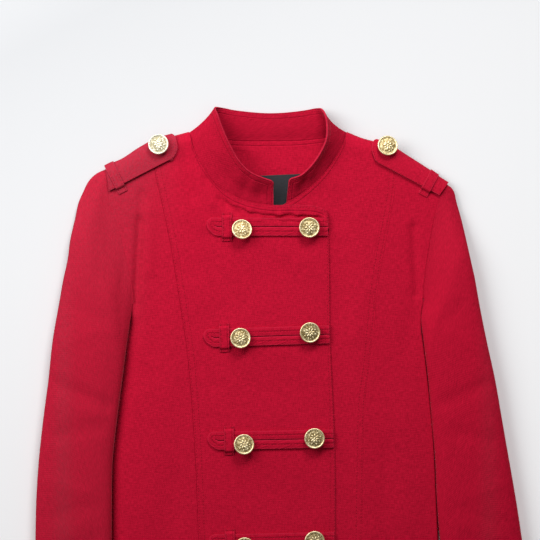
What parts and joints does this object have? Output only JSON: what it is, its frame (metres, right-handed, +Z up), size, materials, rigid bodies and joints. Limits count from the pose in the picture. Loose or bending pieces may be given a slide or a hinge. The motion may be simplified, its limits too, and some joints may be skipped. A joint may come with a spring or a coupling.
{
  "type": "cropped military jacket",
  "caption": "Cropped jacket laid flat, with stand collar, looped tapes under shank buttons down the front, shoulder straps and long sleeves.",
  "frame": {"origin": "middle of the bounding box, on the surface the jacket lies on", "axes": "+X towards the wearer's left, +Y from hem to collar, +Z up from the surface"},
  "size_m": [0.585, 0.6734, 0.0311],
  "materials": {
    "red_twill": "matte twill",
    "black_satin": "satin",
    "antique_brass": "antique, satin"
  },
  "bodies": {
    "root": {"back": "red_twill", "button_1_left": "antique_brass", "button_1_right": "antique_brass", "button_2_left": "antique_brass", "button_2_right": "antique_brass", "button_3_left": "antique_brass", "button_3_right": "antique_brass", "button_4_left": "antique_brass", "button_4_right": "antique_brass", "collar": "red_twill", "epaulette_button_left": "antique_brass", "epaulette_button_right": "antique_brass", "epaulette_keeper_left": "red_twill", "epaulette_keeper_right": "red_twill", "epaulette_left": "red_twill", "epaulette_right": "red_twill", "frog_1": "red_twill", "frog_2": "red_twill", "frog_3": "red_twill", "frog_4": "red_twill", "frog_keeper_1": "red_twill", "frog_keeper_2": "red_twill", "frog_keeper_3": "red_twill", "frog_keeper_4": "red_twill", "front_left": "red_twill", "front_right": "red_twill", "neck_label": "black_satin", "side_front_left": "red_twill", "side_front_right": "red_twill", "sleeve_left": "red_twill", "sleeve_right": "red_twill"}
  },
  "joints": []
}
